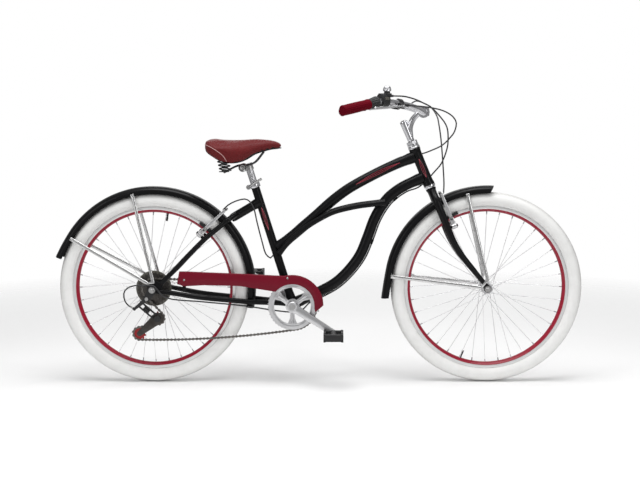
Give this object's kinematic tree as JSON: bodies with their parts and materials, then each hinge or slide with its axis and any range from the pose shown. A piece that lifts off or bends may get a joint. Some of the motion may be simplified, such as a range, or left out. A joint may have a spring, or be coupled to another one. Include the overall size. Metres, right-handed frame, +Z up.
{
  "type": "bicycle",
  "caption": "City bicycle with curved frame tubes, swept handlebar, sprung saddle, full fenders, chain guard, rim brakes and rear derailleur.",
  "frame": {"origin": "on the ground, on the centre plane, half way between the wheel axles", "axes": "+X forward, +Y to the rider's left, +Z up; the chain side has negative y"},
  "size_m": [1.8466, 0.6856, 1.0317],
  "materials": {
    "frame_paint": "gloss black paint",
    "guard_paint": "gloss burgundy paint",
    "rim_finish": "burgundy anodised, with machined brake tracks",
    "chrome_plate": "polished",
    "polished_aluminium": "polished",
    "bright_steel": "satin",
    "dark_steel": "satin",
    "tread_rubber": "matte off-white",
    "saddle_cover": "grained oxblood vinyl",
    "grip_rubber": "matte crimson",
    "black_plastic": "matte",
    "red_plastic": "gloss",
    "cable_housing": "satin"
  },
  "bodies": {
    "frame": {"head_tube": "frame_paint", "top_tube": "frame_paint", "down_tube": "frame_paint", "lateral_tubes": "frame_paint", "seat_tube": "frame_paint", "chain_stays": "frame_paint", "seat_stays": "frame_paint", "seat_collar": "bright_steel", "rear_fender": "frame_paint", "rear_fender_stays_right": "bright_steel", "rear_fender_stays_left": "bright_steel", "chain_guard": "guard_paint", "rear_axle": "bright_steel", "chain": "bright_steel", "derailleur_bracket": "frame_paint", "shift_cable": "cable_housing", "rear_brake_cable": "cable_housing"},
    "steering": {"fork": "frame_paint", "front_axle": "bright_steel", "stem": "chrome_plate", "handlebar": "chrome_plate", "grip_right": "grip_rubber", "grip_left": "grip_rubber", "brake_bracket_right": "dark_steel", "brake_bracket_left": "dark_steel", "shifter_housing": "black_plastic", "shift_cable_loop": "cable_housing", "front_fender": "frame_paint", "front_fender_stays_right": "bright_steel", "front_fender_stays_left": "bright_steel", "front_brake_cable": "cable_housing"},
    "front_wheel": {"front_tyre": "tread_rubber", "front_rim": "rim_finish", "front_spokes": "bright_steel"},
    "rear_wheel": {"rear_tyre": "tread_rubber", "rear_rim": "rim_finish", "rear_spokes": "bright_steel"},
    "freewheel": {"freewheel": "dark_steel"},
    "cranks": {"crank_right": "polished_aluminium", "crank_left": "polished_aluminium"},
    "right_pedal": {"pedal_right": "black_plastic"},
    "left_pedal": {"pedal_left": "black_plastic"},
    "right_lever": {"brake_lever_right": "polished_aluminium"},
    "left_lever": {"brake_lever_left": "polished_aluminium"},
    "front_right_arm": {"front_brake_arm_right": "bright_steel"},
    "front_left_arm": {"front_brake_arm_left": "bright_steel"},
    "rear_right_arm": {"rear_brake_arm_right": "bright_steel"},
    "rear_left_arm": {"rear_brake_arm_left": "bright_steel"},
    "gear_grip": {"shift_grip": "black_plastic"},
    "derailleur_arm": {"derailleur_link": "frame_paint"},
    "lower_knuckle": {"derailleur_knuckle": "frame_paint"},
    "cage": {"derailleur_cage": "dark_steel"},
    "upper_pulley": {"guide_pulley": "red_plastic"},
    "lower_pulley": {"tension_pulley": "red_plastic"},
    "saddle_mast": {"seat_post": "chrome_plate", "saddle_rails": "dark_steel", "saddle_spring_right": "dark_steel", "saddle_spring_left": "dark_steel"},
    "saddle": {"saddle_cushion": "saddle_cover"},
    "collar_lever": {"quick_release_lever": "bright_steel"}
  },
  "joints": [
    {"name": "steer", "type": "hinge", "parent": "frame", "child": "steering", "pos_m": [0.38152, 0, 0.69257], "axis": [-0.3827, 0, 0.9239], "range_deg": [-50, 50], "deforming": ["shift_cable_loop", "rear_brake_cable"]},
    {"name": "front_wheel_spin", "type": "hinge", "parent": "steering", "child": "front_wheel", "pos_m": [0.582, 0, 0.334], "axis": [0, 1, 0], "continuous": true},
    {"name": "rear_wheel_spin", "type": "hinge", "parent": "frame", "child": "rear_wheel", "pos_m": [-0.582, 0, 0.334], "axis": [0, 1, 0], "continuous": true},
    {"name": "crank_spin", "type": "hinge", "parent": "frame", "child": "cranks", "pos_m": [-0.096, 0, 0.275], "axis": [0, 1, 0], "continuous": true, "deforming": ["chain"]},
    {"name": "freewheel_spin", "type": "hinge", "parent": "frame", "child": "freewheel", "pos_m": [-0.582, 0, 0.334], "axis": [0, 1, 0], "continuous": true},
    {"name": "right_pedal_spin", "type": "hinge", "parent": "cranks", "child": "right_pedal", "pos_m": [0.04706, -0.13, 0.18316], "axis": [0, 1, 0], "continuous": true},
    {"name": "left_pedal_spin", "type": "hinge", "parent": "cranks", "child": "left_pedal", "pos_m": [-0.23906, 0.13, 0.36684], "axis": [0, 1, 0], "continuous": true},
    {"name": "right_brake_lever", "type": "hinge", "parent": "steering", "child": "right_lever", "pos_m": [0.28, -0.173, 0.96395], "axis": [0, 0, -1], "range_deg": [0, 12], "stiffness_Nm_per_rad": 3, "springref_deg": -17.19, "deforming": ["rear_brake_cable"]},
    {"name": "left_brake_lever", "type": "hinge", "parent": "steering", "child": "left_lever", "pos_m": [0.28, 0.173, 0.96395], "axis": [0, 0, 1], "range_deg": [0, 12], "stiffness_Nm_per_rad": 3, "springref_deg": -17.19, "deforming": ["front_brake_cable"]},
    {"name": "front_right_brake", "type": "hinge", "parent": "steering", "child": "front_right_arm", "pos_m": [0.44346, -0.044, 0.54331], "axis": [-0.9272, 0, -0.3746], "range_deg": [0, 2.5]},
    {"name": "front_left_brake", "type": "hinge", "parent": "steering", "child": "front_left_arm", "pos_m": [0.44346, 0.044, 0.54331], "axis": [0.9272, 0, 0.3746], "range_deg": [0, 2.5]},
    {"name": "rear_right_brake", "type": "hinge", "parent": "frame", "child": "rear_right_arm", "pos_m": [-0.40054, -0.044, 0.50741], "axis": [-0.6884, 0, 0.7254], "range_deg": [0, 2.5]},
    {"name": "rear_left_brake", "type": "hinge", "parent": "frame", "child": "rear_left_arm", "pos_m": [-0.40054, 0.044, 0.50741], "axis": [0.6884, 0, -0.7254], "range_deg": [0, 2.5]},
    {"name": "gear_twist", "type": "hinge", "parent": "steering", "child": "gear_grip", "pos_m": [0.16531, -0.24927, 0.96978], "axis": [0.7192, 0.6727, 0.1736], "range_deg": [-40, 85], "deforming": ["shift_cable", "chain"]},
    {"name": "derailleur_swing", "type": "hinge", "parent": "frame", "child": "derailleur_arm", "pos_m": [-0.626, -0.062, 0.284], "axis": [0.6549, 0, 0.7557], "range_deg": [-8, 17]},
    {"name": "knuckle_turn", "type": "hinge", "parent": "derailleur_arm", "child": "lower_knuckle", "pos_m": [-0.57998, -0.062, 0.24412], "axis": [0.6549, 0, 0.7557], "range_deg": [-17, 8]},
    {"name": "cage_swing", "type": "hinge", "parent": "lower_knuckle", "child": "cage", "pos_m": [-0.566, -0.0465, 0.232], "axis": [0, 1, 0], "range_deg": [-20, 25], "stiffness_Nm_per_rad": 0.6, "deforming": ["chain"]},
    {"name": "guide_pulley_spin", "type": "hinge", "parent": "cage", "child": "upper_pulley", "pos_m": [-0.566, -0.0465, 0.232], "axis": [0, 1, 0], "continuous": true},
    {"name": "tension_pulley_spin", "type": "hinge", "parent": "cage", "child": "lower_pulley", "pos_m": [-0.631, -0.0465, 0.178], "axis": [0, 1, 0], "continuous": true},
    {"name": "seat_height", "type": "slide", "parent": "frame", "child": "saddle_mast", "axis": [-0.299, 0, 0.9542], "range_m": [-0.03, 0.06]},
    {"name": "saddle_tilt", "type": "hinge", "parent": "saddle_mast", "child": "saddle", "pos_m": [-0.19601, 0, 0.80698], "axis": [0, -1, 0], "range_deg": [0, 3], "stiffness_Nm_per_rad": 30, "springref_deg": -5.73, "deforming": ["saddle_spring_right", "saddle_spring_left"]},
    {"name": "collar_lever_turn", "type": "hinge", "parent": "frame", "child": "collar_lever", "pos_m": [-0.24918, 0, 0.68547], "axis": [0, 1, 0], "range_deg": [-110, 0]}
  ],
  "couplings": [
    {"joint": "freewheel_spin", "follows": "crank_spin", "ratio": 2.3333},
    {"joint": "guide_pulley_spin", "follows": "crank_spin", "ratio": -3.8182},
    {"joint": "tension_pulley_spin", "follows": "crank_spin", "ratio": 3.8182},
    {"joint": "front_right_brake", "follows": "left_brake_lever", "ratio": 0.2083},
    {"joint": "front_left_brake", "follows": "left_brake_lever", "ratio": 0.2083},
    {"joint": "rear_right_brake", "follows": "right_brake_lever", "ratio": 0.2083},
    {"joint": "rear_left_brake", "follows": "right_brake_lever", "ratio": 0.2083},
    {"joint": "derailleur_swing", "follows": "gear_twist", "ratio": 0.2},
    {"joint": "knuckle_turn", "follows": "gear_twist", "ratio": -0.2}
  ]
}
